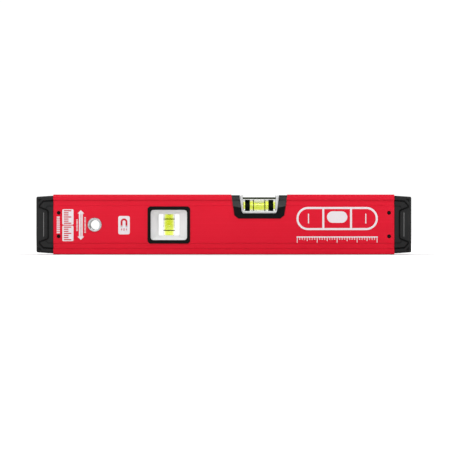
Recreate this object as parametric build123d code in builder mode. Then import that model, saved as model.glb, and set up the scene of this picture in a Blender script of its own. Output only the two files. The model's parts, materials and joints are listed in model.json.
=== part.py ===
"""Box-beam spirit level with a top-read level vial, a plumb vial, base magnets and pull-off end caps.

Frame: +X along the beam, +Y to the back, +Z up, in millimetres.  The origin is on the measuring face
that the level stands on, under the middle of the beam.  The front is the -Y side.
"""

import os
from math import sqrt

from build123d import *

os.makedirs("parts", exist_ok=True)

# ---- Driving dimensions: the beam ----
OVERALL_LENGTH = 406.0
BEAM_LENGTH = 369.0
BEAM_HEIGHT = 65.0
BEAM_DEPTH = 30.0
CORNER_RADIUS = 1.0
HALF_LENGTH = BEAM_LENGTH / 2
HALF_DEPTH = BEAM_DEPTH / 2
MID_HEIGHT = BEAM_HEIGHT / 2

EDGE_TAPER_HEIGHT = 2.4  # the sides lean in a little beside the measuring faces
EDGE_TAPER = 0.3
FLANGE_HEIGHT = 5.7  # full-depth band along the top and bottom edges
FLANGE_STEP = 0.6  # height of the sloped step under that band
CHANNEL_Y = 13.9  # shallow channel between band and panel
PANEL_Y = 14.3  # raised middle panel that carries the printing
PANEL_LOW = 12.3  # height where the lower channel meets the panel
PANEL_STEP = 0.3

BASE_WALL = 2.6  # top and bottom walls of the extrusion
WEB_WALL = 1.5  # the two inner webs
WEB_LOW = 11.4  # underside of the lower web
CHAMBER_Y = 12.2  # half width of the middle chamber
OUTER_CHAMBER_Y = 11.9  # half width of the top and bottom chambers
CHAMBER_LOW = WEB_LOW + WEB_WALL
CHAMBER_HEIGHT = BEAM_HEIGHT - 2 * CHAMBER_LOW
CHAMBER_CORNER = 0.6
END_CHAMFER = 0.25

# ---- Driving dimensions: vials ----
TUBE_RADIUS = 6.2
BORE_RADIUS = 3.75  # at the middle of the barrel-shaped bore
BARREL_RADIUS = 150.0  # how strongly the bore curves; sets the vial's sensitivity
PLUG_RADIUS = 3.95
PLUG_LENGTH = 1.6
RING_INNER = 5.9
RING_OUTER = 6.27
LINE_WIDTH = 0.9
LINE_OFFSET = 6.2  # reading lines, each side of the middle
FLUID_GAP = 0.02
BUBBLE_GAP = 0.15

# ---- Driving dimensions: level vial unit, set into a notch in the top edge ----
LEVEL_X = 38.4
LEVEL_AXIS_Z = 53.4
LEVEL_TUBE_LENGTH = 37.2
LEVEL_WINDOW_HALF = 17.5
LEVEL_WINDOW_LOW = 47.0
NOTCH = dict(half_top=30.4, half_mid=26.9, half_low=22.7, mid_z=42.5, low_z=39.05)
TRAY = dict(half_top=21.55, half_mid=19.0, half_low=17.6, mid_z=46.6, low_z=44.7)
TRAY_DEPTH_HALF = 13.3
TRAY_TOP = 64.0
CRADLE_TOP = 64.3
SEAM_Z = 62.9  # groove across the cradle's top band
SEAM_WIDTH = 0.7
SEAM_DEPTH = 0.5
LINER_WALL = 2.2
FACET_LOW_Z = 52.0  # lower edge of the sloped facet on each arm, halfway across the arm
FACET_HEIGHT = 7.2
FACET_DROP = 1.1
FACET_RUN = 10.0  # the facet's lower edge climbs away from the tray, as this run and rise
FACET_RISE = 2.1
ARM_CUT_HALF = 12.0
LENS_LOW = 60.0
LENS_THICKNESS = 2.0
LENS_HALF_LENGTH = 18.4
LENS_HALF_DEPTH = 12.6
WINDOW_CHAMFER = 1.1
BAND_WIDTH = 5.3
BAND_OFFSET = 12.75
LEVEL_BUBBLE_HALF = 5.8
LEVEL_BUBBLE_RADIUS = 2.1
LEVEL_BUBBLE_RISE = 3.7  # bubble's middle above the vial's axis

# ---- Driving dimensions: plumb vial unit, set into a window through both side walls ----
PLUMB_X = -59.5
PLUMB_Z = 32.3
PLUMB_TUBE_LENGTH = 36.0
PLUMB_OPENING = (43.4, 38.2)  # hole through each side wall
OPENING_CHAMFER = 2.2
HOUSING_SIZE = (42.8, 37.8)
BEZEL_SIZE = (45.9, 40.0)
BEZEL_SKIRT = (43.2, 38.0)
BEZEL_INNER = (39.3, 32.5)
BEZEL_INNER_RADIUS = 3.0
BEZEL_DROP = 0.3  # the bezel sits a little low on its window
BEZEL_BACK_Y = 12.4
BEZEL_FRONT_Y = 14.9
FUNNEL_FLOOR_Y = 7.4
PLUMB_WINDOW = (25.1, 25.3)
PLUMB_WINDOW_RADIUS = 0.8
PLUMB_NECK = (22.9, 22.9)  # the window narrows to this
PLUMB_NECK_Y = 6.4
PLUMB_BUBBLE_HALF = 2.8
PLUMB_BUBBLE_RADIUS = 2.6

# ---- Driving dimensions: hang hole, magnets, end caps ----
HANG_X = -139.8
HANG_Z = 32.3
HANG_BORE_RADIUS = 5.3
HANG_BARREL_RADIUS = 6.3
HANG_RIM_RADIUS = 7.5
HANG_WALL_RADIUS = 6.4
HANG_LEAD_IN = 0.8
HANG_RIM_CHAMFER = 0.35

MAGNET_X = (-125.0, 0.0, 125.0)
MAGNET_RADIUS = 6.0
MAGNET_RECESS = 0.35
CUP_RADIUS = 8.0
CUP_INNER_RADIUS = 6.7
CUP_RECESS = 0.25
CUP_ROOF_LOW = 4.8
CUP_TOP = 6.0
MAGNET_HOLE_RADIUS = 8.1
CARRIER_LENGTH = 24.0
CARRIER_HALF_DEPTH = 11.7

CAP_GAP = 0.15  # between the beam's end face and the rubber
CAP_INNER_SIZE = (28.6, 62.6)
CAP_OUTER_SIZE = (26.8, 60.2)
CAP_CORNER_RADIUS = 2.2  # along the cap's four long edges
CAP_EDGE_RADIUS = 1.6  # round its outer end
GROOVE_WIDTH = 1.7
GROOVE_FLOOR_Y = 11.9
# The wide groove that frames the cap's side, from the beam's step round two ears and back: distance
# out from the beam, height above the middle.
UPPER_GROOVE = [
    (-1.0, 26.0),
    (10.7, 25.2),
    (14.9, 20.6),
    (14.9, 18.8),
    (6.2, 15.3),
    (5.4, 14.0),
]
# The thin line that carries on the edge of the beam's panel until it meets the groove.
PANEL_LINE = [(-1.0, 20.0), (6.0, 20.0), (8.2, 17.2)]
PANEL_LINE_WIDTH = 0.7
PANEL_LINE_FLOOR_Y = 13.2
CORNER_POCKET = [(12.2, 27.9), (15.9, 27.6), (15.9, 24.0)]  # small triangle in each outer corner
POCKET_FLOOR_Y = 12.6
PAD_CREASE_X = 10.3  # the grip pad slopes in from here towards the beam
PAD_INNER_X = 5.0
PAD_DROP = 0.9
PAD_HALF_HEIGHT = 14.0
END_RECESS = (15.0, 42.0, 0.9)
END_RIB_PITCH = 10.5
END_RIB_COUNT = 3
END_RIB_WIDTH = 2.4
TONGUE_LENGTH = 24.0
TONGUE_WALL = 2.2
TONGUE_CLEARANCE = 0.3
BASE_PLATE = (21.0, 46.0, 4.0)
NUB_RADIUS = 1.9
NUB_HOLE_RADIUS = 2.1
NUB_INSET = 5.8  # from the beam's end to the nubs
NUB_HALF_PITCH = 12.7
NUB_TIP_Y = 13.9


def save(piece, name):
    """Label a finished piece and write it to parts/NAME.step."""
    piece.part.label = name
    export_step(piece.part, f"parts/{name}.step")


def beam_outline():
    """Outer cross-section of the beam, as a sketch in the YZ plane."""
    low_half = [
        (HALF_DEPTH - EDGE_TAPER, 0),
        (HALF_DEPTH, EDGE_TAPER_HEIGHT),
        (HALF_DEPTH, FLANGE_HEIGHT),
        (CHANNEL_Y, FLANGE_HEIGHT + FLANGE_STEP),
        (CHANNEL_Y, PANEL_LOW),
        (PANEL_Y, PANEL_LOW + PANEL_STEP),
    ]
    back = low_half + [(y, BEAM_HEIGHT - z) for y, z in reversed(low_half)]
    front = [(-y, z) for y, z in reversed(back)]
    with BuildSketch(Plane.YZ) as outline:
        with BuildLine():
            Polyline(*back, *front, close=True)
        make_face()
        rows = outline.vertices().group_by(Axis.Y)
        fillet(rows[0] + rows[-1], radius=CORNER_RADIUS)
    return outline.sketch


def sleeve_outline():
    """Cross-section that limits the cradle: the beam's taper at the top, plain sides below."""
    right = [
        (HALF_DEPTH, 0),
        (HALF_DEPTH, BEAM_HEIGHT - EDGE_TAPER_HEIGHT),
        (HALF_DEPTH - EDGE_TAPER, CRADLE_TOP),
    ]
    left = [(-y, z) for y, z in reversed(right)]
    with BuildSketch(Plane.YZ) as outline:
        with BuildLine():
            Polyline(*right, *left, close=True)
        make_face()
        fillet(outline.vertices().group_by(Axis.Y)[-1], radius=CORNER_RADIUS)
    return outline.sketch


def saddle_points(half_top, half_mid, half_low, mid_z, low_z, top_z):
    """Trapezoid with two clipped lower corners about x = LEVEL_X, cut off level at top_z.

    half_top is its half width at the beam's top face, whatever top_z is.
    """
    share = (top_z - mid_z) / (BEAM_HEIGHT - mid_z)
    half_at_top = half_mid + (half_top - half_mid) * share
    right = [(half_low, low_z), (half_mid, mid_z), (half_at_top, top_z)]
    left = [(-x, z) for x, z in reversed(right)]
    return [(LEVEL_X + x, z) for x, z in right + left]


def grown_saddle(shape, by, top_z):
    """The saddle outline moved outward by a wall thickness."""
    return saddle_points(
        shape["half_top"] + by,
        shape["half_mid"] + by,
        shape["half_low"] + by / 2,
        shape["mid_z"] - by / 2,
        shape["low_z"] - by,
        top_z,
    )


def bore_radius_at(distance, middle_radius=BORE_RADIUS):
    """Radius of the barrel-shaped bore at a distance along its axis from the middle."""
    return middle_radius - (BARREL_RADIUS - sqrt(BARREL_RADIUS**2 - distance**2))


def barrel_section(middle_radius, half_length):
    """Half section of the barrel-shaped bore, on the side of its axis where local y is positive."""
    end_radius = bore_radius_at(half_length, middle_radius)
    slope = half_length / sqrt(BARREL_RADIUS**2 - half_length**2)
    with BuildSketch() as section:
        with BuildLine():
            Spline(
                (-half_length, end_radius),
                (0, middle_radius),
                (half_length, end_radius),
                tangents=[(1, slope), (1, -slope)],
            )
            Polyline(
                (half_length, end_radius),
                (half_length, 0),
                (-half_length, 0),
                (-half_length, end_radius),
            )
        make_face()
    return section.sketch


def barrel(plane, middle_radius, half_length):
    """Barrel-shaped solid along the plane's x direction."""
    section = barrel_section(middle_radius, half_length)
    with BuildPart() as solid:
        with BuildSketch(plane):
            add(section)
        revolve(axis=Axis(plane.origin, plane.x_dir))
    return solid.part


def spheroid(centre, half_sizes):
    """Bubble body: a unit sphere scaled to three half sizes and moved to its centre."""
    with BuildPart() as unit:
        Sphere(1.0)
        scale(by=half_sizes)
    with BuildPart() as solid:
        with Locations(centre):
            add(unit.part)
    return solid.part


def ring_set(plane, offsets, width):
    """Dark rings let into the tube's surface, as one group of separate solids."""
    with BuildPart() as rings:
        with BuildSketch(plane):
            with Locations(*[(x, (RING_INNER + RING_OUTER) / 2) for x in offsets]):
                Rectangle(width, RING_OUTER - RING_INNER)
        revolve(axis=Axis(plane.origin, plane.x_dir))
    return rings


def vial_tube(plane, length, grooves):
    """Clear tube with a barrel bore, a socket at each end and a groove under each ring."""
    section = barrel_section(BORE_RADIUS, length / 2 - PLUG_LENGTH)
    with BuildPart() as tube:
        with BuildSketch(plane):
            Rectangle(length, TUBE_RADIUS, align=(Align.CENTER, Align.MIN))
            add(section, mode=Mode.SUBTRACT)
            with Locations((-length / 2, 0), (length / 2, 0)):
                Rectangle(
                    2 * PLUG_LENGTH,
                    PLUG_RADIUS,
                    align=(Align.CENTER, Align.MIN),
                    mode=Mode.SUBTRACT,
                )
            for offset, width in grooves:
                with Locations((offset, RING_INNER)):
                    Rectangle(
                        width,
                        TUBE_RADIUS,
                        align=(Align.CENTER, Align.MIN),
                        mode=Mode.SUBTRACT,
                    )
        revolve(axis=Axis(plane.origin, plane.x_dir))
    return tube


def vial_plug(plane, length, side):
    """Glued disc that closes one end of the bore; side is -1 or +1 along the tube."""
    inner_x = side * (length / 2 - PLUG_LENGTH + FLUID_GAP)
    with BuildPart() as plug:
        with BuildSketch(plane):
            with Locations(((inner_x + side * length / 2) / 2, 0)):
                Rectangle(
                    abs(side * length / 2 - inner_x),
                    PLUG_RADIUS - FLUID_GAP,
                    align=(Align.CENTER, Align.MIN),
                )
        revolve(axis=Axis(plane.origin, plane.x_dir))
    return plug


envelope = beam_outline()
sleeve = sleeve_outline()

# ---- Beam: aluminium extrusion with three chambers ----
with BuildPart() as beam_frame:
    extrude(to_extrude=envelope, amount=HALF_LENGTH, both=True)
    end_faces = beam_frame.faces().filter_by(Axis.X)
    chamfer(end_faces.edges(), length=END_CHAMFER)
    with BuildSketch(Plane.YZ):
        with Locations((0, MID_HEIGHT)):
            RectangleRounded(2 * CHAMBER_Y, CHAMBER_HEIGHT, CHAMBER_CORNER)
        outer_chamber_height = WEB_LOW - BASE_WALL
        outer_chamber_mid = (WEB_LOW + BASE_WALL) / 2
        with Locations((0, outer_chamber_mid), (0, BEAM_HEIGHT - outer_chamber_mid)):
            RectangleRounded(
                2 * OUTER_CHAMBER_Y, outer_chamber_height, CHAMBER_CORNER
            )
    extrude(amount=HALF_LENGTH, both=True, mode=Mode.SUBTRACT)
    # the notch for the level vial, the plumb window, the hang hole and the nub holes
    with BuildSketch(Plane.XZ):
        with BuildLine():
            Polyline(*saddle_points(**NOTCH, top_z=BEAM_HEIGHT), close=True)
        make_face()
        with Locations((PLUMB_X, PLUMB_Z)):
            with BuildSketch(mode=Mode.PRIVATE) as opening:
                Rectangle(*PLUMB_OPENING)
                chamfer(opening.vertices(), length=OPENING_CHAMFER)
            add(opening.sketch)
        with Locations((HANG_X, HANG_Z)):
            Circle(HANG_WALL_RADIUS)
        with Locations((0, MID_HEIGHT)):
            with GridLocations(
                2 * (HALF_LENGTH - NUB_INSET), 2 * NUB_HALF_PITCH, 2, 2
            ):
                Circle(NUB_HOLE_RADIUS)
    extrude(amount=BEAM_DEPTH, both=True, mode=Mode.SUBTRACT)
    # holes for the magnet cups, through the bottom wall only
    with BuildSketch(Plane.XY):
        with Locations(*[(x, 0) for x in MAGNET_X]):
            Circle(MAGNET_HOLE_RADIUS)
    extrude(amount=(BASE_WALL + WEB_LOW) / 2, mode=Mode.SUBTRACT)
save(beam_frame, "beam_frame")

# ---- Level vial unit ----
level_plane = Plane(
    origin=(LEVEL_X, 0, LEVEL_AXIS_Z), x_dir=(1, 0, 0), z_dir=(0, -1, 0)
)
level_lines = [(side * LINE_OFFSET, LINE_WIDTH) for side in (-1, 1)]
level_bands = [(side * BAND_OFFSET, BAND_WIDTH) for side in (-1, 1)]
level_bore_half = LEVEL_TUBE_LENGTH / 2 - PLUG_LENGTH

level_tube = vial_tube(level_plane, LEVEL_TUBE_LENGTH, level_lines + level_bands)
save(level_tube, "level_vial_tube")
save(
    ring_set(level_plane, [x for x, _ in level_lines], LINE_WIDTH),
    "level_reading_lines",
)
save(
    ring_set(level_plane, [x for x, _ in level_bands], BAND_WIDTH),
    "level_contrast_bands",
)
for side, side_name in ((-1, "left"), (1, "right")):
    save(
        vial_plug(level_plane, LEVEL_TUBE_LENGTH, side), f"level_vial_plug_{side_name}"
    )

# The bubble sits at the top of the bore, so its upper side takes the barrel's shape.
level_bubble_centre = (LEVEL_X, 0, LEVEL_AXIS_Z + LEVEL_BUBBLE_RISE)
level_bubble_body = spheroid(
    level_bubble_centre, (LEVEL_BUBBLE_HALF, LEVEL_BUBBLE_RADIUS, LEVEL_BUBBLE_RADIUS)
)
level_bubble_limit = barrel(level_plane, BORE_RADIUS - BUBBLE_GAP, level_bore_half)
with BuildPart() as level_bubble:
    add(level_bubble_body)
    add(level_bubble_limit, mode=Mode.INTERSECT)
save(level_bubble, "level_bubble")

level_pocket = spheroid(
    level_bubble_centre,
    (
        LEVEL_BUBBLE_HALF + BUBBLE_GAP,
        LEVEL_BUBBLE_RADIUS + BUBBLE_GAP,
        LEVEL_BUBBLE_RADIUS + BUBBLE_GAP,
    ),
)
level_fill = barrel(level_plane, BORE_RADIUS - FLUID_GAP, level_bore_half)
with BuildPart() as level_fluid:
    add(level_fill)
    add(level_pocket, mode=Mode.SUBTRACT)
save(level_fluid, "level_fluid")

# Black cradle: two face plates joined by a U-shaped liner.  Their arms carry the beam's top band
# across the notch, with a sloped facet below it, and the rest stands a little proud of the panel.
pocket_top = BEAM_HEIGHT - BASE_WALL
band_low = BEAM_HEIGHT - FLANGE_HEIGHT
arm_mid = (NOTCH["half_top"] + TRAY["half_top"]) / 2
with BuildPart() as level_cradle:
    with BuildSketch(Plane.XZ):
        with BuildLine():
            Polyline(*saddle_points(**NOTCH, top_z=band_low), close=True)
        make_face()
    extrude(amount=HALF_DEPTH, both=True)
    front_face = level_cradle.faces().sort_by(Axis.Y)[0]
    back_face = level_cradle.faces().sort_by(Axis.Y)[-1]
    chamfer(front_face.edges() + back_face.edges(), length=END_CHAMFER)
    for way in (-1, 1):
        for side in (-1, 1):
            facet_plane = Plane(
                origin=(LEVEL_X + side * arm_mid, way * HALF_DEPTH, FACET_LOW_Z),
                x_dir=(0, way, 0),
                z_dir=(side * FACET_RUN, 0, FACET_RISE),
            )
            up = 1 if facet_plane.y_dir.Z > 0 else -1
            with BuildSketch(facet_plane):
                with BuildLine():
                    Polyline(
                        (FACET_DROP, 0),
                        (0, 0),
                        (-FACET_DROP, up * FACET_HEIGHT),
                        (-FACET_DROP, 2 * up * FACET_HEIGHT),
                        (FACET_DROP, 2 * up * FACET_HEIGHT),
                        close=True,
                    )
                make_face()
            extrude(amount=ARM_CUT_HALF, both=True, mode=Mode.SUBTRACT)
    with BuildSketch(Plane.XZ):
        with BuildLine():
            Polyline(*saddle_points(**NOTCH, top_z=CRADLE_TOP), close=True)
        make_face()
        with Locations((LEVEL_X, band_low)):
            Rectangle(
                BEAM_LENGTH,
                BEAM_HEIGHT,
                align=(Align.CENTER, Align.MAX),
                mode=Mode.SUBTRACT,
            )
    extrude(amount=HALF_DEPTH, both=True)
    extrude(to_extrude=sleeve, amount=HALF_LENGTH, both=True, mode=Mode.INTERSECT)
    with Locations((LEVEL_X, -HALF_DEPTH, SEAM_Z), (LEVEL_X, HALF_DEPTH, SEAM_Z)):
        Box(BEAM_LENGTH, 2 * SEAM_DEPTH, SEAM_WIDTH, mode=Mode.SUBTRACT)
    with BuildSketch(Plane.XZ):
        with BuildLine():
            Polyline(*grown_saddle(NOTCH, LINER_WALL, pocket_top), close=True)
        make_face()
        with BuildLine():
            Polyline(*grown_saddle(TRAY, LINER_WALL, pocket_top), close=True)
        make_face(mode=Mode.SUBTRACT)
    extrude(amount=CHAMBER_Y, both=True, mode=Mode.SUBTRACT)
    with BuildSketch(Plane.XZ):
        with BuildLine():
            Polyline(*saddle_points(**TRAY, top_z=BEAM_HEIGHT), close=True)
        make_face()
    extrude(amount=BEAM_DEPTH, both=True, mode=Mode.SUBTRACT)
save(level_cradle, "level_cradle")

# White tray that holds the tube and the top lens, in two halves that meet at y = 0.
window_mid_z = LEVEL_WINDOW_LOW + BEAM_HEIGHT / 2
with BuildPart() as level_tray:
    with BuildSketch(Plane.XZ):
        with BuildLine():
            Polyline(*saddle_points(**TRAY, top_z=BEAM_HEIGHT), close=True)
        make_face()
        with Locations((LEVEL_X, TRAY_TOP)):
            Rectangle(
                BEAM_LENGTH,
                BASE_WALL,
                align=(Align.CENTER, Align.MIN),
                mode=Mode.SUBTRACT,
            )
    extrude(amount=TRAY_DEPTH_HALF, both=True)
    for face_y, taper_way in ((-TRAY_DEPTH_HALF, 1), (TRAY_DEPTH_HALF, -1)):
        with BuildSketch(Plane.XZ.offset(-face_y)):
            with Locations((LEVEL_X, window_mid_z)):
                Rectangle(
                    2 * (LEVEL_WINDOW_HALF + WINDOW_CHAMFER),
                    BEAM_HEIGHT + 2 * WINDOW_CHAMFER,
                )
        with BuildSketch(Plane.XZ.offset(-face_y - taper_way * WINDOW_CHAMFER)):
            with Locations((LEVEL_X, window_mid_z)):
                Rectangle(2 * LEVEL_WINDOW_HALF, BEAM_HEIGHT)
        loft(mode=Mode.SUBTRACT)
    with Locations((LEVEL_X, 0, window_mid_z)):
        Box(
            2 * LEVEL_WINDOW_HALF, BEAM_DEPTH, BEAM_HEIGHT, mode=Mode.SUBTRACT
        )
    with Locations(level_plane.location):
        Cylinder(
            TUBE_RADIUS + FLUID_GAP,
            LEVEL_TUBE_LENGTH + 2 * FLUID_GAP,
            rotation=(0, 90, 0),
            mode=Mode.SUBTRACT,
        )
    with Locations((LEVEL_X, 0, LENS_LOW + LENS_THICKNESS / 2)):
        Box(
            2 * (LENS_HALF_LENGTH + FLUID_GAP),
            2 * (LENS_HALF_DEPTH + FLUID_GAP),
            LENS_THICKNESS + 2 * FLUID_GAP,
            mode=Mode.SUBTRACT,
        )
for keep, half_name in ((Keep.TOP, "front"), (Keep.BOTTOM, "back")):
    with BuildPart() as tray_half:
        add(level_tray.part)
        split(bisect_by=Plane.XZ, keep=keep)
    save(tray_half, f"level_tray_{half_name}")

with BuildPart() as level_top_lens:
    with Locations((LEVEL_X, 0, LENS_LOW + LENS_THICKNESS / 2)):
        Box(2 * LENS_HALF_LENGTH, 2 * LENS_HALF_DEPTH, LENS_THICKNESS)
save(level_top_lens, "level_top_lens")

# ---- Plumb vial unit ----
plumb_plane = Plane(
    origin=(PLUMB_X, 0, PLUMB_Z), x_dir=(0, 0, 1), z_dir=(0, -1, 0)
)
plumb_lines = [(side * LINE_OFFSET, LINE_WIDTH) for side in (-1, 1)]
plumb_bore_half = PLUMB_TUBE_LENGTH / 2 - PLUG_LENGTH
bezel_mid_z = PLUMB_Z - BEZEL_DROP

save(vial_tube(plumb_plane, PLUMB_TUBE_LENGTH, plumb_lines), "plumb_vial_tube")
save(
    ring_set(plumb_plane, [x for x, _ in plumb_lines], LINE_WIDTH),
    "plumb_reading_lines",
)
for side, side_name in ((-1, "bottom"), (1, "top")):
    save(
        vial_plug(plumb_plane, PLUMB_TUBE_LENGTH, side), f"plumb_vial_plug_{side_name}"
    )

# With the beam lying level, this bubble rests at the upper end of its tube.
plumb_bubble_z = PLUMB_Z + plumb_bore_half - BUBBLE_GAP - PLUMB_BUBBLE_HALF
plumb_bubble_centre = (PLUMB_X, 0, plumb_bubble_z)
plumb_bubble_body = spheroid(
    plumb_bubble_centre, (PLUMB_BUBBLE_RADIUS, PLUMB_BUBBLE_RADIUS, PLUMB_BUBBLE_HALF)
)
with BuildPart() as plumb_bubble:
    add(plumb_bubble_body)
save(plumb_bubble, "plumb_bubble")

plumb_pocket = spheroid(
    plumb_bubble_centre,
    (
        PLUMB_BUBBLE_RADIUS + BUBBLE_GAP,
        PLUMB_BUBBLE_RADIUS + BUBBLE_GAP,
        PLUMB_BUBBLE_HALF + BUBBLE_GAP / 2,
    ),
)
plumb_fill = barrel(plumb_plane, BORE_RADIUS - FLUID_GAP, plumb_bore_half)
with BuildPart() as plumb_fluid:
    add(plumb_fill)
    add(plumb_pocket, mode=Mode.SUBTRACT)
    with BuildSketch(Plane.XY.offset(plumb_bubble_z)):
        with Locations((PLUMB_X, 0)):
            Circle(PLUMB_BUBBLE_RADIUS + BUBBLE_GAP)
    extrude(amount=PLUMB_TUBE_LENGTH, mode=Mode.SUBTRACT)
save(plumb_fluid, "plumb_fluid")

# White housing with a funnel down to the window, in two halves that meet at y = 0.
with BuildPart() as plumb_housing:
    with BuildSketch(Plane.XZ) as housing_block:
        with Locations((PLUMB_X, PLUMB_Z)):
            Rectangle(*HOUSING_SIZE)
        chamfer(housing_block.vertices(), length=OPENING_CHAMFER)
    extrude(amount=BEZEL_BACK_Y, both=True)
    for way in (-1, 1):
        with BuildSketch(Plane.XZ.offset(way * BEZEL_BACK_Y)):
            with Locations((PLUMB_X, bezel_mid_z)):
                RectangleRounded(*BEZEL_INNER, BEZEL_INNER_RADIUS)
        with BuildSketch(Plane.XZ.offset(way * FUNNEL_FLOOR_Y)):
            with Locations((PLUMB_X, PLUMB_Z)):
                RectangleRounded(*PLUMB_WINDOW, PLUMB_WINDOW_RADIUS)
        loft(mode=Mode.SUBTRACT)
        with BuildSketch(Plane.XZ.offset(way * FUNNEL_FLOOR_Y)):
            with Locations((PLUMB_X, PLUMB_Z)):
                RectangleRounded(*PLUMB_WINDOW, PLUMB_WINDOW_RADIUS)
        with BuildSketch(Plane.XZ.offset(way * PLUMB_NECK_Y)):
            with Locations((PLUMB_X, PLUMB_Z)):
                RectangleRounded(*PLUMB_NECK, PLUMB_WINDOW_RADIUS)
        loft(mode=Mode.SUBTRACT)
    with BuildSketch(Plane.XZ):
        with Locations((PLUMB_X, PLUMB_Z)):
            RectangleRounded(*PLUMB_NECK, PLUMB_WINDOW_RADIUS)
    extrude(amount=BEAM_DEPTH, both=True, mode=Mode.SUBTRACT)
    with Locations((PLUMB_X, 0, PLUMB_Z)):
        Cylinder(
            TUBE_RADIUS + FLUID_GAP,
            PLUMB_TUBE_LENGTH + 2 * FLUID_GAP,
            mode=Mode.SUBTRACT,
        )
for keep, half_name in ((Keep.TOP, "front"), (Keep.BOTTOM, "back")):
    with BuildPart() as housing_half:
        add(plumb_housing.part)
        split(bisect_by=Plane.XZ, keep=keep)
    save(housing_half, f"plumb_housing_{half_name}")

# Black bezel on each face: a skirt inside the wall's opening and a thin flange over its edge.
for way, bezel_name in ((1, "front"), (-1, "back")):
    with BuildPart() as bezel:
        with BuildSketch(Plane.XZ.offset(way * BEZEL_BACK_Y)) as skirt:
            with Locations((PLUMB_X, PLUMB_Z)):
                Rectangle(*BEZEL_SKIRT)
            chamfer(skirt.vertices(), length=OPENING_CHAMFER)
        extrude(amount=way * (PANEL_Y - BEZEL_BACK_Y))
        with BuildSketch(Plane.XZ.offset(way * PANEL_Y)) as flange:
            with Locations((PLUMB_X, bezel_mid_z)):
                Rectangle(*BEZEL_SIZE)
            chamfer(flange.vertices(), length=OPENING_CHAMFER)
        extrude(amount=way * (BEZEL_FRONT_Y - PANEL_Y))
        with BuildSketch(Plane.XZ):
            with Locations((PLUMB_X, bezel_mid_z)):
                RectangleRounded(*BEZEL_INNER, BEZEL_INNER_RADIUS)
        extrude(amount=way * BEAM_DEPTH, mode=Mode.SUBTRACT)
        outer_face = bezel.faces().sort_by(Axis.Y)[0 if way == 1 else -1]
        chamfer(outer_face.edges(), length=END_CHAMFER)
    save(bezel, f"plumb_bezel_{bezel_name}")

# ---- Hang hole: a two-part eyelet through both walls ----
for way, eyelet_name in ((-1, "front"), (1, "back")):
    with BuildPart() as eyelet:
        with BuildSketch(Plane.XY.offset(HANG_Z)):
            # half section about the hole's axis, x out from it and y along it
            with BuildLine():
                Polyline(
                    (HANG_X + HANG_BORE_RADIUS, 0),
                    (HANG_X + HANG_BARREL_RADIUS, 0),
                    (HANG_X + HANG_BARREL_RADIUS, way * PANEL_Y),
                    (HANG_X + HANG_RIM_RADIUS, way * PANEL_Y),
                    (HANG_X + HANG_RIM_RADIUS, way * (HALF_DEPTH - HANG_RIM_CHAMFER)),
                    (HANG_X + HANG_RIM_RADIUS - HANG_RIM_CHAMFER, way * HALF_DEPTH),
                    (HANG_X + HANG_BORE_RADIUS + HANG_LEAD_IN, way * HALF_DEPTH),
                )
                RadiusArc(
                    (HANG_X + HANG_BORE_RADIUS + HANG_LEAD_IN, way * HALF_DEPTH),
                    (
                        HANG_X + HANG_BORE_RADIUS,
                        way * (HALF_DEPTH - HANG_LEAD_IN),
                    ),
                    way * -HANG_LEAD_IN,
                )
                Line(
                    (HANG_X + HANG_BORE_RADIUS, way * (HALF_DEPTH - HANG_LEAD_IN)),
                    (HANG_X + HANG_BORE_RADIUS, 0),
                )
            make_face()
        revolve(axis=Axis((HANG_X, 0, HANG_Z), (0, 1, 0)))
    save(eyelet, f"hang_eyelet_{eyelet_name}")

# ---- Magnets: a disc in a steel cup in a plastic carrier, three times ----
for number, magnet_x in enumerate(MAGNET_X, start=1):
    with BuildPart() as magnet:
        with BuildSketch(Plane.XY.offset(MAGNET_RECESS)):
            with Locations((magnet_x, 0)):
                Circle(MAGNET_RADIUS)
        extrude(amount=CUP_ROOF_LOW - MAGNET_RECESS)
    save(magnet, f"magnet_{number}")

    with BuildPart() as bond_ring:
        with BuildSketch(Plane.XY.offset(2 * MAGNET_RECESS)):
            with Locations((magnet_x, 0)):
                Circle(CUP_INNER_RADIUS)
                Circle(MAGNET_RADIUS, mode=Mode.SUBTRACT)
        extrude(amount=CUP_ROOF_LOW - 2 * MAGNET_RECESS)
    save(bond_ring, f"magnet_bond_ring_{number}")

    with BuildPart() as cup:
        with BuildSketch(Plane.XY.offset(CUP_RECESS)):
            with Locations((magnet_x, 0)):
                Circle(CUP_RADIUS)
        extrude(amount=CUP_TOP - CUP_RECESS)
        chamfer(cup.edges().group_by(Axis.Z)[0], length=END_CHAMFER)
        with BuildSketch(Plane.XY):
            with Locations((magnet_x, 0)):
                Circle(CUP_INNER_RADIUS)
        extrude(amount=CUP_ROOF_LOW, mode=Mode.SUBTRACT)
    save(cup, f"magnet_cup_{number}")

    with BuildPart() as carrier:
        with BuildSketch(Plane.XY.offset(BASE_WALL)):
            with Locations((magnet_x, 0)):
                Rectangle(CARRIER_LENGTH, 2 * CARRIER_HALF_DEPTH)
        extrude(amount=WEB_LOW - BASE_WALL)
        with BuildSketch(Plane.XY):
            with Locations((magnet_x, 0)):
                Circle(CUP_RADIUS)
        extrude(amount=CUP_TOP, mode=Mode.SUBTRACT)
        chamfer(carrier.edges().filter_by(Axis.X), length=CHAMBER_CORNER)
    save(carrier, f"magnet_carrier_{number}")

# ---- End caps: rubber bumper over a rigid tongue with four soft nubs ----
cap_start = HALF_LENGTH + CAP_GAP
cap_end = OVERALL_LENGTH / 2
groove_path = [(cap_start + x, MID_HEIGHT + z) for x, z in UPPER_GROOVE]
groove_path += [(x, BEAM_HEIGHT - z) for x, z in reversed(groove_path)]


def cap_side_y(distance):
    """Half width of the tapering cap at a distance out from the beam."""
    share = distance / (cap_end - cap_start)
    return (CAP_INNER_SIZE[0] * (1 - share) + CAP_OUTER_SIZE[0] * share) / 2


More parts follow.
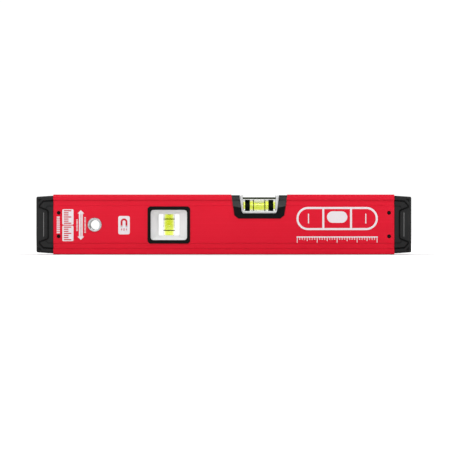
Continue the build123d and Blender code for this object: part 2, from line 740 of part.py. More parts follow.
with BuildPart() as end_cap_right:
    with BuildSketch(Plane.YZ.offset(cap_start)):
        with Locations((0, MID_HEIGHT)):
            RectangleRounded(*CAP_INNER_SIZE, CAP_CORNER_RADIUS)
    with BuildSketch(Plane.YZ.offset(cap_end)):
        with Locations((0, MID_HEIGHT)):
            RectangleRounded(*CAP_OUTER_SIZE, CAP_CORNER_RADIUS)
    loft()
    fillet(
        end_cap_right.faces().sort_by(Axis.X)[-1].edges(), radius=CAP_EDGE_RADIUS
    )
    for way in (-1, 1):
        with BuildSketch(Plane.XZ.offset(way * GROOVE_FLOOR_Y)):
            with BuildLine():
                Polyline(*groove_path)
            trace(line_width=GROOVE_WIDTH)
        extrude(amount=way * HALF_DEPTH, mode=Mode.SUBTRACT)
        for up in (-1, 1):
            with BuildSketch(Plane.XZ.offset(way * PANEL_LINE_FLOOR_Y)):
                with BuildLine():
                    Polyline(
                        *[(cap_start + x, MID_HEIGHT + up * z) for x, z in PANEL_LINE]
                    )
                trace(line_width=PANEL_LINE_WIDTH)
            extrude(amount=way * HALF_DEPTH, mode=Mode.SUBTRACT)
            with BuildSketch(Plane.XZ.offset(way * POCKET_FLOOR_Y)):
                with BuildLine():
                    Polyline(
                        *[(cap_start + x, MID_HEIGHT + up * z) for x, z in CORNER_POCKET],
                        close=True,
                    )
                make_face()
            extrude(amount=way * HALF_DEPTH, mode=Mode.SUBTRACT)
        # the pad's slope from its crease down to the groove
        with BuildSketch(Plane.XY.offset(MID_HEIGHT)):
            with BuildLine():
                Polyline(
                    (cap_start + PAD_CREASE_X, -way * HALF_DEPTH),
                    (cap_start + PAD_CREASE_X, -way * cap_side_y(PAD_CREASE_X)),
                    (
                        cap_start + PAD_INNER_X,
                        -way * (cap_side_y(PAD_INNER_X) - PAD_DROP),
                    ),
                    (cap_start + PAD_INNER_X, -way * HALF_DEPTH),
                    close=True,
                )
            make_face()
        extrude(amount=PAD_HALF_HEIGHT, both=True, mode=Mode.SUBTRACT)
    # recess with ribs in the end face, for a grip when pulling the cap off
    with BuildSketch(Plane.YZ.offset(cap_end)):
        with Locations((0, MID_HEIGHT)):
            RectangleRounded(*END_RECESS[:2], 2 * CORNER_RADIUS)
            with GridLocations(0, END_RIB_PITCH, 1, END_RIB_COUNT):
                Rectangle(END_RECESS[0], END_RIB_WIDTH, mode=Mode.SUBTRACT)
    extrude(amount=-END_RECESS[2], mode=Mode.SUBTRACT)
    # pocket for the tongue's base plate
    with BuildSketch(Plane.YZ.offset(cap_start)):
        with Locations((0, MID_HEIGHT)):
            Rectangle(*BASE_PLATE[:2])
    extrude(amount=BASE_PLATE[2], mode=Mode.SUBTRACT)
save(end_cap_right, "end_cap_right")

tongue_outer = (
    2 * (CHAMBER_Y - TONGUE_CLEARANCE),
    CHAMBER_HEIGHT - 2 * TONGUE_CLEARANCE,
)
tongue_inner = (tongue_outer[0] - 2 * TONGUE_WALL, tongue_outer[1] - 2 * TONGUE_WALL)
tongue_tip = HALF_LENGTH - TONGUE_LENGTH
nub_x = HALF_LENGTH - NUB_INSET
with BuildPart() as cap_tongue_right:
    with BuildSketch(Plane.YZ.offset(tongue_tip)):
        with Locations((0, MID_HEIGHT)):
            RectangleRounded(*tongue_outer, CORNER_RADIUS)
    extrude(amount=cap_start - tongue_tip)
    chamfer(
        cap_tongue_right.faces().sort_by(Axis.X)[0].edges(), length=2 * END_CHAMFER
    )
    with BuildSketch(Plane.YZ.offset(cap_start)):
        with Locations((0, MID_HEIGHT)):
            Rectangle(*BASE_PLATE[:2])
    extrude(amount=BASE_PLATE[2])
    with BuildSketch(Plane.YZ.offset(tongue_tip)):
        with Locations((0, MID_HEIGHT)):
            RectangleRounded(*tongue_inner, CORNER_RADIUS)
    extrude(amount=cap_start - tongue_tip, mode=Mode.SUBTRACT)
    with BuildSketch(Plane.XZ):
        with Locations((nub_x, MID_HEIGHT)):
            with GridLocations(0, 2 * NUB_HALF_PITCH, 1, 2):
                Circle(NUB_RADIUS)
    extrude(amount=HALF_DEPTH, both=True, mode=Mode.SUBTRACT)
save(cap_tongue_right, "cap_tongue_right")

with BuildPart() as cap_nubs_right:
    for way in (-1, 1):
        with BuildSketch(Plane.XZ.offset(way * (tongue_inner[0] / 2))):
            with Locations((nub_x, MID_HEIGHT)):
                with GridLocations(0, 2 * NUB_HALF_PITCH, 1, 2):
                    Circle(NUB_RADIUS)
        extrude(amount=way * (NUB_TIP_Y - tongue_inner[0] / 2))
    tips = cap_nubs_right.faces().filter_by(Axis.Y)
    outer_tips = tips.sort_by(Axis.Y)[:2] + tips.sort_by(Axis.Y)[-2:]
    fillet(outer_tips.edges(), radius=NUB_RADIUS / 2)
save(cap_nubs_right, "cap_nubs_right")

for right_piece, left_name in (
    (end_cap_right, "end_cap_left"),
    (cap_tongue_right, "cap_tongue_left"),
    (cap_nubs_right, "cap_nubs_left"),
):
    with BuildPart() as left_piece:
        mirror(right_piece.part, about=Plane.YZ)
    save(left_piece, left_name)
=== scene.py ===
"""Looks of the spirit level: materials, vial contents, printed graphics, stage, lights and camera."""

import json
import math

import bmesh
import bpy
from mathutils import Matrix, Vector


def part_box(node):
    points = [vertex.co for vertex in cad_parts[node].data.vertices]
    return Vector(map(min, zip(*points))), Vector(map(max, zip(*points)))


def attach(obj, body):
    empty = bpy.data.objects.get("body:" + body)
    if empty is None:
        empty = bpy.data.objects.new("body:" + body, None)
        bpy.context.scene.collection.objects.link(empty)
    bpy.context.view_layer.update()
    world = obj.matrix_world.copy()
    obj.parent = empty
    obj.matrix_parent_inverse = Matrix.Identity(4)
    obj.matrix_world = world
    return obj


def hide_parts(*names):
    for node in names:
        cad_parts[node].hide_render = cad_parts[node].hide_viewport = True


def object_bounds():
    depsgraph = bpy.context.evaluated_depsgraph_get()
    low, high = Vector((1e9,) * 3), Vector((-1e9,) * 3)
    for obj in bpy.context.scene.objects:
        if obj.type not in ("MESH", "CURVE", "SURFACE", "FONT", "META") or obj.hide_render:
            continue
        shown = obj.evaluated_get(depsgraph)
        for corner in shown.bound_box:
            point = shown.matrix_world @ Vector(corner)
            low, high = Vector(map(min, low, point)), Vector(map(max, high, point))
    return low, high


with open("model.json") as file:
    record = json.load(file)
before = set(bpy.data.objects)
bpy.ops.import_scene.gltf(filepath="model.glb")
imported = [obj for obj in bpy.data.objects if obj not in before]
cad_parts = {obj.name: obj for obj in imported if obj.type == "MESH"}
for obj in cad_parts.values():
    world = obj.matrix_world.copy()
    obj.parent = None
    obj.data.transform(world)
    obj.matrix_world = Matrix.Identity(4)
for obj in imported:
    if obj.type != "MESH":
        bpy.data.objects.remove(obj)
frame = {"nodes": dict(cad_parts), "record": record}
cad_low, cad_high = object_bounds()

MM = 0.001
NODES = frame["nodes"]
WHITE = (1.0, 1.0, 1.0, 1.0)
ACRYLIC_IOR = 1.49
LIQUID_IOR = 1.40

# ---- Meshes ----
SMOOTH_ANGLE = math.radians(32)
MERGE_DISTANCE = 1e-7
TINY = 1e-6  # a length too small to divide by or to give a ring
LATHE_STEPS = 96

# ---- Parts of CAD nodes that look different from the rest, by painted light or shade ----
CREASE_X = 194.95 * MM  # crease of the grip pads, either side of the middle
CREASE_Z = 32.5 * MM
FACET_LOW_Z = 50.0 * MM  # the cradle's sloped facets lie above this
FACET_SLOPE = (0.05, 0.5)  # how far a facet's normal points up
FACET_FACING = 0.8  # and at least how far it points to the front or back
TOP_BAND_Z = 59.2 * MM  # the cradle's top band lies above this
BORE_NORMAL_Y = 0.3  # faces of the eyelet that point less than this along the hole are its walls

# ---- Vials: sizes that the frame doesn't state ----
BORE_RADIUS = 3.75 * MM  # of both vials, at the middle
BARREL_RADIUS = 150 * MM  # of the bore's curved wall, seen from the side
PLUG_LENGTH = 1.6 * MM
LIQUID_LAP = 0.02 * MM  # the liquid laps into the tube's wall, so that no air gap shows
BARREL_STEPS = 24
BUBBLE_GAP = 0.06 * MM  # between the bubble and the wall
BUBBLE_TRAVEL = math.radians(3.6)  # each way along the barrel's arc
BUBBLE_SAG = 0.06  # how far the bubble's floor sags, as a share of the bubble's depth
BUBBLE_STATIONS = 40
BUBBLE_POINTS = 28
LINE_WIDTH = 0.9 * MM
BAND_WIDTH = 5.3 * MM
BAND_THICKNESS = 0.37 * MM  # of the CAD's lines and bands alike
BAND_LAP = 0.04 * MM  # they go this much deeper than their grooves
BAND_EDGE = 0.05 * MM

# ---- Printed graphics ----
INK = 0.06 * MM  # thickness of a layer of ink
PANEL_STRIP = 10 * MM  # the printed panel reaches at least this far above and below the middle
HOLE_TICKS_X = 5.4 * MM  # from the beam's left end
SIZE_PANEL_X = 15.8 * MM
ARROW_X = 29.8 * MM
LABEL_SHIFT = 0.6 * MM  # left of midway between the eyelet and the bezel
VIAL_SIGN_SHIFT = 4.0 * MM  # left of midway between the cradle and the beam's right end
LABEL_DROP = 0.7 * MM  # below the beam's middle
ARROW_DROP = 0.5 * MM
HOLE_TICKS_DROP = 0.4 * MM

# ---- Stage, lamps and camera ----
SKY_FRONT, SKY_BACK = 0.10, 1.05
SKY_FADE = (-0.9, 0.9)  # Y of the direction looked in, from in front of the object to behind it
FLOOR_RADIUS = 30.0
FLOOR_STEPS = 96
FLOOR_DROP = 0.05 * MM
# painted shadow: the floor is darker and glows less near the object
FLOOR_SHADED, FLOOR_FAR = (0.72, 0.72, 0.72), (0.90, 0.90, 0.90)
FLOOR_GLOW_SHADED, FLOOR_GLOW_FAR = 0.16, 0.50
FLOOR_FADE = (0.10, 0.32)  # metres from the middle over which near turns to far
FLOOR_STRETCH = (0.6, 1.0, 0.0)  # the painted shadow near the object is longer along the beam
LAMPS = (  # name, place, what it points at, size, watts
    ("key", (-1.0, -2.9, 1.4), (0.0, 0.0, 0.03), (2.6, 0.8), 36),
    ("high_left", (-2.0, -1.4, 3.0), (-0.2, 0.0, 0.03), (2.2, 0.8), 37.5),
    ("high_right", (2.0, -1.4, 3.0), (0.2, 0.0, 0.03), (2.2, 0.8), 36.5),
    ("top", (0.0, 0.6, 2.6), (0.0, 0.0, 0.03), (2.8, 0.6), 8),
)
FOCAL_LENGTH, SENSOR_WIDTH = 200.0, 36.0
CLIP_NEAR, CLIP_FAR = 0.05, 100.0
VIEW_WIDTH = 486.7 * MM  # seen across the beam's front
CAMERA_X, CAMERA_Z = 1.27 * MM, 32.0 * MM


# ---------------------------------------------------------------- materials


def set_range(node, start, stop, low, high):
    """Makes a Map Range node take start..stop to low..high."""
    for socket, number in zip(("From Min", "From Max", "To Min", "To Max"), (start, stop, low, high)):
        node.inputs[socket].default_value = number


def scaled(colour, by):
    return tuple(by * channel for channel in colour)


class Surface:
    """A Principled material with short ways to add procedural detail in the object's own coordinates."""

    def __init__(self, name, colour, roughness, metallic=0.0):
        self.material = bpy.data.materials.new(name)
        self.material.use_nodes = True
        self.tree = self.material.node_tree
        self.shader = self.tree.nodes["Principled BSDF"]
        self.colour = (*colour, 1.0)
        self.set("Base Color", self.colour)
        self.set("Roughness", roughness)
        self.set("Metallic", metallic)
        self.place = self.tree.nodes.new("ShaderNodeTexCoord").outputs["Object"]

    def set(self, socket, value):
        self.shader.inputs[socket].default_value = value

    def link(self, output, node, socket):
        self.tree.links.new(output, node.inputs[socket])

    def stretched(self, scale):
        """The object's coordinates, scaled per axis."""
        mapping = self.tree.nodes.new("ShaderNodeMapping")
        mapping.inputs["Scale"].default_value = scale
        self.link(self.place, mapping, "Vector")
        return mapping.outputs["Vector"]

    def noise(self, scale, detail, stretch=None):
        node = self.tree.nodes.new("ShaderNodeTexNoise")
        node.inputs["Scale"].default_value = scale
        node.inputs["Detail"].default_value = detail
        self.link(self.stretched(stretch) if stretch else self.place, node, "Vector")
        return node.outputs["Fac"]

    def cells(self, scale):
        node = self.tree.nodes.new("ShaderNodeTexVoronoi")
        node.inputs["Scale"].default_value = scale
        self.link(self.place, node, "Vector")
        return node.outputs["Distance"]

    def remap(self, value, low, high, start=0.3, stop=0.7):
        node = self.tree.nodes.new("ShaderNodeMapRange")
        set_range(node, start, stop, low, high)
        self.link(value, node, "Value")
        return node.outputs["Result"]

    def vary_colour(self, value, other, start=0.3, stop=0.7):
        """Blends from the colour so far to another one as value goes from start to stop."""
        mix = self.tree.nodes.new("ShaderNodeMix")
        mix.data_type = "RGBA"
        mix.inputs["A"].default_value = self.colour
        mix.inputs["B"].default_value = (*other, 1.0)
        base = self.shader.inputs["Base Color"]
        if base.is_linked:
            self.link(base.links[0].from_socket, mix, "A")
        self.link(self.remap(value, 0.0, 1.0, start, stop), mix, "Factor")
        self.link(mix.outputs["Result"], self.shader, "Base Color")

    def shade_recesses(self, reach, other):
        """Painted shade: darkens grooves and corners by how much of the surroundings they see."""
        node = self.tree.nodes.new("ShaderNodeAmbientOcclusion")
        node.inputs["Distance"].default_value = reach
        node.samples = 8
        hidden = self.remap(node.outputs["AO"], 1.0, 0.0, 0.35, 0.95)
        self.vary_colour(hidden, other, 0.0, 1.0)

    def absorb(self, colour, density):
        """Tint that builds up inside the solid; density is per metre."""
        node = self.tree.nodes.new("ShaderNodeVolumeAbsorption")
        node.inputs["Color"].default_value = (*colour, 1.0)
        node.inputs["Density"].default_value = density
        self.link(node.outputs["Volume"], self.tree.nodes["Material Output"], "Volume")

    def near(self, axis, middle, half_width, soft):
        """1 where the absolute coordinate along an axis is within half_width of middle, fading to 0."""
        axes = self.tree.nodes.new("ShaderNodeSeparateXYZ")
        self.link(self.place, axes, "Vector")
        value = axes.outputs[axis]
        for operation, number in (("ABSOLUTE", 0.0), ("SUBTRACT", middle), ("ABSOLUTE", 0.0)):
            node = self.tree.nodes.new("ShaderNodeMath")
            node.operation = operation
            node.inputs[1].default_value = number
            self.link(value, node, 0)
            value = node.outputs["Value"]
        return self.remap(value, 1.0, 0.0, half_width, half_width + soft)

    def both(self, one, other):
        """1 where both values are 1."""
        node = self.tree.nodes.new("ShaderNodeMath")
        node.operation = "MULTIPLY"
        self.link(one, node, 0)
        self.link(other, node, 1)
        return node.outputs["Value"]

    def vary_roughness(self, value, low, high):
        self.link(self.remap(value, low, high), self.shader, "Roughness")

    def bump(self, value, height):
        """Adds relief; height is in metres, and later calls lie on top of earlier ones."""
        node = self.tree.nodes.new("ShaderNodeBump")
        node.inputs["Strength"].default_value = 1.0
        node.inputs["Distance"].default_value = height
        self.link(value, node, "Height")
        normal = self.shader.inputs["Normal"]
        if normal.is_linked:
            self.link(normal.links[0].from_socket, node, "Normal")
        self.link(node.outputs["Normal"], self.shader, "Normal")


def powder_coat():
    """Red powder coat: fine orange peel, faint extrusion lines along the beam, a soft gloss."""
    red = (0.690, 0.0045, 0.0245)
    deeper_red = (0.640, 0.0035, 0.0215)
    streak_red = (0.705, 0.006, 0.029)
    groove_shade_red = (0.20, 0.0015, 0.006)
    s = Surface("beam_paint", red, 0.36)
    s.set("Specular IOR Level", 0.16)
    s.vary_colour(s.noise(14, 3), deeper_red)
    s.vary_colour(s.noise(60, 5, (0.05, 1, 12)), streak_red, 0.45, 0.9)
    # painted shade: the red darkens in grooves and below the flange steps, where shadow falls
    s.shade_recesses(1.4 * MM, groove_shade_red)
    s.vary_roughness(s.noise(90, 4), 0.31, 0.43)
    s.bump(s.noise(900, 2), 0.010 * MM)
    s.bump(s.noise(130, 3, (0.03, 1, 6)), 0.012 * MM)
    return s.material


def moulded_black(name, colour, gloss):
    """Black spark-textured plastic of the cradle and the bezels."""
    s = Surface(name, colour, 0.34)
    s.set("Specular IOR Level", gloss)
    s.vary_colour(s.noise(45, 4), scaled(colour, 1.35))
    s.vary_colour(s.noise(420, 4), scaled(colour, 1.6), 0.55, 0.85)
    s.vary_roughness(s.noise(260, 3), 0.30, 0.42)
    # painted shade: the black darkens further in grooves and corners
    s.shade_recesses(2.2 * MM, (0.0012, 0.0012, 0.0012))
    s.bump(s.cells(2600), 0.006 * MM)
    s.bump(s.noise(1500, 2), 0.004 * MM)
    return s.material


def white_plastic(name, colour):
    """Satin white plastic that holds the vials."""
    s = Surface(name, colour, 0.36)
    s.set("Specular IOR Level", 0.3)
    s.vary_colour(s.noise(55, 3), scaled(colour, 0.965))
    s.vary_roughness(s.noise(300, 2), 0.30, 0.42)
    s.bump(s.noise(1800, 2), 0.004 * MM)
    s.set("Subsurface Weight", 0.08)
    s.set("Subsurface Radius", (2.0, 2.0, 1.8))
    s.set("Subsurface Scale", 0.5 * MM)
    return s.material


def rubber():
    """Matt dark rubber of the end caps: fine grain, painted shade in the grooves, a painted highlight along
    the crease of each pad.
    """
    black = (0.0145, 0.0148, 0.0151)
    paler = (0.0180, 0.0183, 0.0186)
    worn = (0.025, 0.0255, 0.0255)
    crease_highlight = (0.20, 0.20, 0.20)
    s = Surface("cap_rubber", black, 0.55)
    s.set("Specular IOR Level", 0.14)
    s.vary_colour(s.noise(38, 5), paler)
    s.vary_colour(s.noise(420, 6, (1, 1, 0.15)), worn, 0.58, 0.80)
    # painted highlight: a pale line along each pad's crease, where the edge catches the light
    across = s.near("X", CREASE_X, 0.12 * MM, 0.30 * MM)
    upright = s.near("Z", CREASE_Z, 12.4 * MM, 1.2 * MM)
    s.vary_colour(s.both(across, upright), crease_highlight, 0.0, 1.0)
    # painted shade in the grooves and pockets
    s.shade_recesses(4.5 * MM, (0.0008, 0.0008, 0.0008))
    s.vary_roughness(s.noise(180, 4), 0.48, 0.64)
    s.bump(s.cells(1700), 0.022 * MM)
    s.bump(s.noise(700, 3), 0.012 * MM)
    s.set("Sheen Weight", 0.03)
    s.set("Sheen Roughness", 0.4)
    return s.material


def soft_black(name):
    """Plain black rubber or resin of small inner pieces."""
    s = Surface(name, (0.0030, 0.0045, 0.0035), 0.5)
    s.set("Specular IOR Level", 0.10)
    s.vary_colour(s.noise(120, 3), (0.0060, 0.0075, 0.0060))
    # painted shade in grooves, gaps and holes
    s.shade_recesses(3.0 * MM, (0.0008, 0.0012, 0.0008))
    s.vary_roughness(s.noise(320, 3), 0.44, 0.60)
    s.bump(s.noise(1200, 3), 0.010 * MM)
    return s.material


def tongue_plastic():
    """Dark grey glass-filled plastic of the cap tongues and the magnet carriers."""
    s = Surface("tongue_plastic", (0.022, 0.023, 0.025), 0.46)
    s.vary_colour(s.noise(160, 5, (0.2, 1, 1)), (0.034, 0.035, 0.037), 0.4, 0.8)
    s.vary_roughness(s.noise(240, 3), 0.40, 0.56)
    s.bump(s.noise(1400, 3), 0.010 * MM)
    return s.material


def turned_metal(name, colour, roughness, fine=2400):
    """Plated metal with fine turning marks and slight tarnish."""
    s = Surface(name, colour, roughness, metallic=1.0)
    s.vary_colour(s.noise(180, 4), scaled(colour, 0.90))
    s.vary_roughness(s.noise(500, 4), roughness * 0.8, roughness * 1.35)
    s.bump(s.noise(fine, 2), 0.002 * MM)
    return s.material


def print_ink(name, colour, roughness=0.42, gloss=0.4):
    """Screen-printed ink with slightly uneven cover; the vial plugs are as plain."""
    s = Surface(name, colour, roughness)
    s.set("Specular IOR Level", gloss)
    s.vary_colour(s.noise(500, 3), scaled(colour, 0.965))
    s.vary_roughness(s.noise(700, 2), roughness * 0.85, roughness * 1.2)
    s.bump(s.noise(2200, 2), 0.003 * MM)
    return s.material


def clear(name, colour, ior):
    """Surface of a clear plastic or liquid: light bends through it and takes its tint."""
    s = Surface(name, colour, 0.0)
    s.set("Transmission Weight", 1.0)
    s.set("IOR", ior)
    return s


def acrylic_tube():
    s = clear("clear_acrylic", (0.985, 0.995, 0.985), ACRYLIC_IOR)
    s.vary_roughness(s.noise(220, 2), 0.0, 0.02)
    return s.material


def vial_liquid():
    """Yellow-green liquid: its tint builds up with depth, and its surface has a faint painted glow, as of a
    fluorescent dye.
    """
    s = clear("vial_fluid", (0.99, 1.0, 0.95), LIQUID_IOR)
    # painted glow: the liquid gives off a little yellow light of its own
    s.set("Emission Color", (0.72, 0.80, 0.02, 1.0))
    s.set("Emission Strength", 0.05)
    s.vary_colour(s.noise(70, 2), (0.97, 0.985, 0.92))
    s.absorb((0.915, 0.935, 0.36), 700.0)
    return s.material


def bubble_air():
    """Air inside the liquid: refraction by the ratio of the two indices, and a pale painted glow that stands
    for the light the bubble catches.
    """
    material = bpy.data.materials.new("bubble_air")
    material.use_nodes = True
    tree = material.node_tree
    tree.nodes.remove(tree.nodes["Principled BSDF"])
    glass = tree.nodes.new("ShaderNodeBsdfGlass")
    glass.inputs["Color"].default_value = WHITE
    glass.inputs["Roughness"].default_value = 0.0
    glass.inputs["IOR"].default_value = 1.0 / LIQUID_IOR
    # painted glow: pale light given off by the bubble's surface
    painted_glow = tree.nodes.new("ShaderNodeEmission")
    painted_glow.inputs["Color"].default_value = (0.66, 0.66, 0.55, 1.0)
    mix = tree.nodes.new("ShaderNodeMixShader")
    mix.inputs["Fac"].default_value = 0.42
    tree.links.new(glass.outputs["BSDF"], mix.inputs[1])
    tree.links.new(painted_glow.outputs["Emission"], mix.inputs[2])
    tree.links.new(mix.outputs["Shader"], tree.nodes["Material Output"].inputs["Surface"])
    return material


def lens_plate():
    """Clear plate whose tint only builds up along its length, so its edge reads dark olive."""
    s = clear("lens_acrylic", (0.98, 0.99, 0.97), ACRYLIC_IOR)
    s.vary_roughness(s.noise(200, 2), 0.0, 0.03)
    s.absorb((0.36, 0.42, 0.10), 240.0)
    return s.material


MATERIALS = {  # by the record's slots
    "beam_paint": powder_coat(),
    "cradle_plastic": moulded_black("cradle_plastic", (0.0027, 0.0028, 0.0029), 0.10),
    # painted shade: the trays take a darker copy of the white plastic than the plumb housing does
    "tray_plastic": white_plastic("tray_plastic", (0.66, 0.67, 0.67)),
    "clear_acrylic": acrylic_tube(),
    "vial_plug": print_ink("vial_plug", (0.50, 0.56, 0.06), 0.30),
    "vial_fluid": vial_liquid(),
    "bubble_air": bubble_air(),
    "reading_line": print_ink("reading_line", (0.004, 0.008, 0.002), 0.30, 0.08),
    "contrast_band": print_ink("contrast_band", (0.0008, 0.0045, 0.0015), 0.30, 0.08),
    "eyelet_metal": turned_metal("eyelet_metal", (0.62, 0.635, 0.65), 0.26),
    "magnet_nickel": turned_metal("magnet_nickel", (0.66, 0.65, 0.62), 0.18),
    "magnet_bond": soft_black("magnet_bond"),
    "magnet_cup_steel": turned_metal("magnet_cup_steel", (0.56, 0.57, 0.58), 0.32, 1600),
    "carrier_plastic": tongue_plastic(),
    "cap_rubber": rubber(),
    "tongue_plastic": tongue_plastic(),
    "nub_rubber": soft_black("nub_rubber"),
}
LENS_ACRYLIC = lens_plate()
# painted light: the plumb housing takes a paler copy of the trays' white plastic
HOUSING_PLASTIC = white_plastic("housing_plastic", (0.84, 0.85, 0.85))
# painted shade: a darker, rougher copy of the eyelet metal for the inside of the hole
BORE_SHADE_METAL = turned_metal("bore_shade_metal", (0.38, 0.39, 0.39), 0.42)
# painted light: a lighter, glossier copy of the cradle plastic for its up-facing facets and top band
FACET_LIT_PLASTIC = moulded_black("facet_lit_plastic", (0.0205, 0.021, 0.021), 0.30)
WHITE_INK = print_ink("white_ink", (0.76, 0.72, 0.745))
RED_INK = print_ink("red_ink", (0.55, 0.005, 0.02))
GREY_INK = print_ink("grey_ink", (0.42, 0.43, 0.44))
OWN_LOOKS = {  # nodes that look different from the rest of their slot
    "level_top_lens": LENS_ACRYLIC,
    "plumb_housing_front": HOUSING_PLASTIC,
    "plumb_housing_back": HOUSING_PLASTIC,
}


def shade_bore(mesh):
    """The eyelet's inner wall gets a darker, rougher copy of the metal: painted shade inside the hole."""
    mesh.materials.append(BORE_SHADE_METAL)
    for face in mesh.polygons:
        if abs(face.normal.y) < BORE_NORMAL_Y:
            face.material_index = 1


def light_facets(mesh):
    """The cradle's up-facing sloped facets and its top band get a lighter, glossier copy of the black
    plastic: painted light, where they face the lamps above.
    """
    mesh.materials.append(FACET_LIT_PLASTIC)
    least, most = FACET_SLOPE
    for face in mesh.polygons:
        slopes = least < face.normal.z < most and abs(face.normal.y) > FACET_FACING
        if (slopes and face.center.z > FACET_LOW_Z) or face.center.z > TOP_BAND_Z:
            face.material_index = 1


def finish_cad_nodes():
    """Gives each CAD node its material and smooth curved faces."""
    slots = {row["node"]: row["material_slot"] for row in frame["record"]["subparts"]}
    for name, node in NODES.items():
        node.data.materials.clear()
        node.data.materials.append(OWN_LOOKS.get(name, MATERIALS[slots[name]]))
        node.data.shade_smooth()
        node.data.set_sharp_from_angle(angle=SMOOTH_ANGLE)
    light_facets(NODES["level_cradle"].data)
    shade_bore(NODES["hang_eyelet_front"].data)
    shade_bore(NODES["hang_eyelet_back"].data)


# ---------------------------------------------------------------- mesh helpers


def make_piece(name, fill, material, body):
    """Makes a piece that rides on a body; fill is a function that puts its shape into a bmesh."""
    bm = bmesh.new()
    fill(bm)
    bmesh.ops.remove_doubles(bm, verts=bm.verts, dist=MERGE_DISTANCE)
    bmesh.ops.recalc_face_normals(bm, faces=bm.faces)
    mesh = bpy.data.meshes.new(name)
    bm.to_mesh(mesh)
    bm.free()
    mesh.materials.append(material)
    mesh.shade_smooth()
    mesh.set_sharp_from_angle(angle=SMOOTH_ANGLE)
    piece = bpy.data.objects.new(name, mesh)
    bpy.context.scene.collection.objects.link(piece)
    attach(piece, body)
    return piece


def centre_of(node):
    low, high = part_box(node)
    return (low + high) / 2


def unit_vector(axis_index):
    axis = Vector((0.0, 0.0, 0.0))
    axis[axis_index] = 1.0
    return axis


def join_rings(bm, one, two, count):
    """Faces between two rings of count vertices; a ring of one vertex is a tip."""
    for step in range(count):
        corners = [one[step % len(one)], one[(step + 1) % len(one)],
                   two[(step + 1) % len(two)], two[step % len(two)]]
        bm.faces.new(list(dict.fromkeys(corners)))


def lathe(bm, profile, centre, axis, closed):
    """Revolves (along, radius) points about an axis through centre.

    closed joins the last point of the profile to the first.
    """
    out = Vector((0, 1, 0))
    side = axis.cross(out)
    rings = []
    for along, radius in profile:
        foot = centre + axis * along
        if radius == 0.0:
            rings.append([bm.verts.new(foot)])
            continue
        ring = []
        for step in range(LATHE_STEPS):
            turn = 2 * math.pi * step / LATHE_STEPS
            ring.append(bm.verts.new(foot + radius * (math.cos(turn) * out + math.sin(turn) * side)))
        rings.append(ring)
    pairs = list(zip(rings, rings[1:]))
    if closed:
        pairs.append((rings[-1], rings[0]))
    for one, two in pairs:
        join_rings(bm, one, two, LATHE_STEPS)


def slab(bm, rims, near, far):
    """Thin plate between y = near and y = far.

    rims holds its outline and, if it has one, its hole, each as (x, z) points.
    """
    loops = [[[bm.verts.new((x, y, z)) for x, z in points] for points in rims] for y in (near, far)]
    for first, second in zip(*loops):
        for i, vert in enumerate(first):
            following = (i + 1) % len(first)
            bm.faces.new((vert, first[following], second[following], second[i]))
    for loop in loops:
        if len(loop) == 1:
            bm.faces.new(loop[0])
            continue
        outer, inner = loop
        for i, vert in enumerate(outer):
            following = (i + 1) % len(outer)
            bm.faces.new((vert, outer[following], inner[following], inner[i]))


def rounded_box(x, z, width, height, radius, steps=8):
    """Outline of a rounded rectangle about (x, z), anticlockwise from its right side."""
    points = []
    for corner, (sx, sz) in enumerate(((1, 1), (-1, 1), (-1, -1), (1, -1))):
        cx = x + sx * (width / 2 - radius)
        cz = z + sz * (height / 2 - radius)
        for step in range(steps + 1):
            turn = math.pi / 2 * (corner + step / steps)
            points.append((cx + radius * math.cos(turn), cz + radius * math.sin(turn)))
    return points


def bar(x, z, width, height):
    """Outline of a rectangle about (x, z)."""
    return [(x - width / 2, z - height / 2), (x + width / 2, z - height / 2),
            (x + width / 2, z + height / 2), (x - width / 2, z + height / 2)]


# ---------------------------------------------------------------- vials


def bore_radius(along):
    """Radius of the barrel-shaped bore at a distance from its middle."""
    return BORE_RADIUS - (BARREL_RADIUS - math.sqrt(BARREL_RADIUS**2 - along**2))


def fill_vial(name, axis_index):
    """The full bore of liquid; the bubble moves about inside it."""
    tube = f"{name}_vial_tube"
    low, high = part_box(tube)
    half_length = (high - low)[axis_index] / 2 - PLUG_LENGTH
    profile = [(-half_length, 0.0)]
    for step in range(BARREL_STEPS + 1):
        along = half_length * (2 * step / BARREL_STEPS - 1)
        profile.append((along, bore_radius(along) + LIQUID_LAP))
    profile.append((half_length, 0.0))

    def fill(bm):
        lathe(bm, profile, centre_of(tube), unit_vector(axis_index), closed=False)

    piece = make_piece(f"{name}_liquid", fill, MATERIALS["vial_fluid"], "beam")
    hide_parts(f"{name}_fluid")


def bubble_section(reach, floor):
    """(y, z) outline of the space between the bore's wall, at radius reach, and a level floor."""
    half_turn = math.acos(floor / reach)
    half_width = reach * math.sin(half_turn)
    outline = []
    for step in range(BUBBLE_POINTS):
        turn = half_turn * (2 * step / BUBBLE_POINTS - 1)
        outline.append((reach * math.sin(turn), reach * math.cos(turn)))
    for step in range(BUBBLE_POINTS):
        share = 1 - 2 * step / BUBBLE_POINTS
        outline.append((half_width * share, floor - BUBBLE_SAG * (reach - floor) * (1 - share**2)))
    return outline


def bubble_room(along, height, turn):
    """Half the width that the bore leaves for a point of the bubble.

    turn is the angle that the bubble has run along the barrel's arc.
    """
    arc_centre = BARREL_RADIUS - BORE_RADIUS
    from_centre = math.hypot(along, arc_centre + height)
    angle = math.atan2(along, arc_centre + height) + turn
    moved_along = from_centre * math.sin(angle)
    moved_height = from_centre * math.cos(angle) - arc_centre
    reach = bore_radius(moved_along) - BUBBLE_GAP
    return math.sqrt(max(0.0, reach**2 - moved_height**2))


def fit_travel(along, y, z):
    """y of a bubble's point, drawn in by as much as the bore is narrower where the travel ends."""
    at_rest = bubble_room(along, z, 0.0)
    if at_rest < TINY:
        return y
    narrowest = min(bubble_room(along, z, turn) for turn in (-BUBBLE_TRAVEL, 0.0, BUBBLE_TRAVEL))
    return y * narrowest / at_rest


